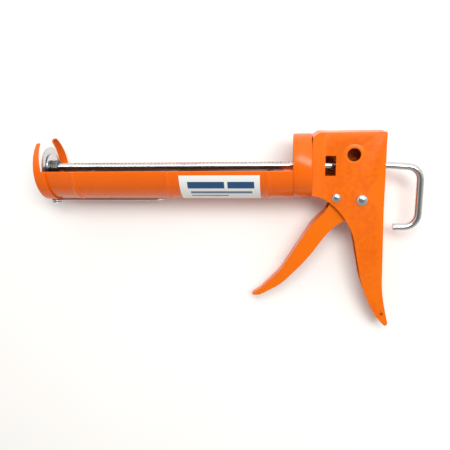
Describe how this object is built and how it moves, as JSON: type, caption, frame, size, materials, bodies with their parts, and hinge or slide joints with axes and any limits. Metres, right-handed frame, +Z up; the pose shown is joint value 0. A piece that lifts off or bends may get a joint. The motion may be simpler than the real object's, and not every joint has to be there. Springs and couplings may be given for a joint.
{
  "type": "caulking gun",
  "caption": "Ratchet-rod caulking gun with a half-round sheet steel cradle, folded steel handle and trigger, bent rod hook and plunger disc.",
  "frame": {"origin": "on the bench under the middle of the gun's box, with the gun lying on its right side", "axes": "+X along the barrel from the muzzle to the hook, +Y the way the cradle opens, +Z up from the bench, out of the gun's left side"},
  "size_m": [0.3158, 0.1638, 0.0555],
  "materials": {
    "orange_paint": "gloss enamel over stamped sheet steel",
    "zinc_plate": "bright zinc plate over drawn and turned steel",
    "dark_steel": "dark oiled steel",
    "spring_steel": "drawn spring steel",
    "sticker": "printed gloss sticker"
  },
  "bodies": {
    "frame": {"cradle": "orange_paint", "front_cap": "orange_paint", "rear_cap": "orange_paint", "rod_guide_bush": "zinc_plate", "handle_frame": "orange_paint", "pivot_rivet": "zinc_plate", "stop_rivet": "zinc_plate", "pivot_sleeve": "dark_steel", "stop_sleeve": "dark_steel", "holding_spring": "spring_steel", "label": "sticker", "punch_rivet": "zinc_plate"},
    "punch": {"seal_punch": "zinc_plate"},
    "trigger": {"trigger": "orange_paint", "return_spring": "spring_steel", "pawl_pin": "zinc_plate", "pawl_spring": "spring_steel"},
    "pawl": {"drive_pawl": "dark_steel"},
    "plunger": {"plunger_plate": "zinc_plate", "plunger_backing": "zinc_plate"},
    "rod": {"push_rod": "zinc_plate", "lock_washer": "dark_steel", "plunger_nut": "dark_steel"}
  },
  "joints": [
    {"name": "trigger_pull", "type": "hinge", "parent": "frame", "child": "trigger", "pos_m": [0.10848, 0.02685, 0.02443], "axis": [0, -0.1249, 0.9922], "range_deg": [0, 28], "stiffness_Nm_per_rad": 0.6, "springref_deg": -20.05},
    {"name": "pawl_swing", "type": "hinge", "parent": "trigger", "child": "pawl", "pos_m": [0.11248, 0.0452, 0.02674], "axis": [0, -0.1249, 0.9922], "range_deg": [-30, 0]},
    {"name": "rod_slide", "type": "slide", "parent": "frame", "child": "plunger", "axis": [1, 0, 0], "range_m": [0, 0.205]},
    {"name": "punch_swing", "type": "hinge", "parent": "frame", "child": "punch", "pos_m": [-0.15188, 0.02431, 0.02513], "axis": [0, -0.9959, -0.0902], "range_deg": [0, 180]},
    {"name": "rod_turn", "type": "hinge", "parent": "plunger", "child": "rod", "pos_m": [0.05357, 0.05324, 0.02775], "axis": [-1, 0, 0], "continuous": true}
  ],
  "couplings": [
    {"joint": "pawl_swing", "follows": "trigger_pull", "ratio": -1}
  ]
}
